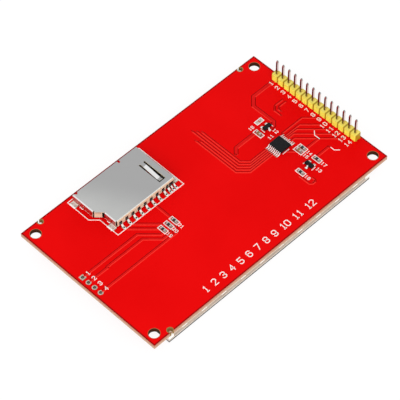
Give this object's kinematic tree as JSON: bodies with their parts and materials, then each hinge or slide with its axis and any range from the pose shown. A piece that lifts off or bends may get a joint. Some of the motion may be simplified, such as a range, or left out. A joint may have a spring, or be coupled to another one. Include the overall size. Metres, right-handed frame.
{
  "type": "tft display module",
  "caption": "Serial colour touch display on a red circuit board with a pin header, a memory card socket and four corner holes, lying on its display.",
  "frame": {"origin": "centre of the display's face, which is the underside the module lies on", "axes": "+X along the board towards the pin header, +Y towards the card socket's mouth, +Z from the display to the parts side"},
  "size_m": [0.098, 0.0564, 0.0146],
  "materials": {
    "board": "satin red solder mask over glass-fibre laminate",
    "tinned_pads": "bright tin-levelled copper",
    "solder": "bright solder",
    "header_plastic": "moulded yellow",
    "header_pins": "plated square pins",
    "cover_steel": "stamped stainless sheet",
    "socket_plastic": "moulded black",
    "contact_metal": "plated spring strip",
    "package": "moulded black epoxy",
    "lead_frame": "tinned leads",
    "resistor": "black glaze with tinned ends",
    "capacitor": "tan ceramic with tinned ends",
    "foam": "white foam tape",
    "tray_steel": "folded sheet tray",
    "frame_plastic": "moulded white",
    "optical_film": "white optical film",
    "light_guide": "clear acrylic",
    "lamps": "lamp packages on flexible circuit",
    "cell_glass": "display glass with dark polarizers",
    "silicon": "bare silicon",
    "ribbon": "amber polyimide",
    "black_bond": "black adhesive frame",
    "touch_glass": "thin glass",
    "touch_film": "hard-coated film with a black border"
  },
  "bodies": {
    "root": {"pcb": "board", "component_pads": "tinned_pads", "plated_holes": "tinned_pads", "header_housing": "header_plastic", "header_solder": "solder", "header_pin_1": "header_pins", "header_pin_2": "header_pins", "header_pin_3": "header_pins", "header_pin_4": "header_pins", "header_pin_5": "header_pins", "header_pin_6": "header_pins", "header_pin_7": "header_pins", "header_pin_8": "header_pins", "header_pin_9": "header_pins", "header_pin_10": "header_pins", "header_pin_11": "header_pins", "header_pin_12": "header_pins", "header_pin_13": "header_pins", "header_pin_14": "header_pins", "card_socket_cover": "cover_steel", "card_socket_base": "socket_plastic", "card_switch": "contact_metal", "card_contact_1": "contact_metal", "card_contact_2": "contact_metal", "card_contact_3": "contact_metal", "card_contact_4": "contact_metal", "card_contact_5": "contact_metal", "card_contact_6": "contact_metal", "card_contact_7": "contact_metal", "card_contact_8": "contact_metal", "card_contact_9": "contact_metal", "touch_controller": "package", "touch_controller_leads": "lead_frame", "regulator": "package", "regulator_leads": "lead_frame", "transistor": "package", "transistor_leads": "lead_frame", "resistor_1": "resistor", "resistor_2": "resistor", "resistor_3": "resistor", "resistor_4": "resistor", "resistor_5": "resistor", "resistor_6": "resistor", "capacitor_1": "capacitor", "capacitor_2": "capacitor", "mounting_tape": "foam", "display_tray": "tray_steel", "backlight_frame": "frame_plastic", "reflector": "optical_film", "light_guide": "light_guide", "led_strip": "lamps", "diffuser": "optical_film", "cell_rear_glass": "cell_glass", "cell_front_glass": "cell_glass", "driver_chip": "silicon", "display_ribbon": "ribbon", "touch_bond": "black_bond", "touch_glass": "touch_glass", "touch_film": "touch_film", "touch_ribbon": "ribbon"}
  },
  "joints": []
}
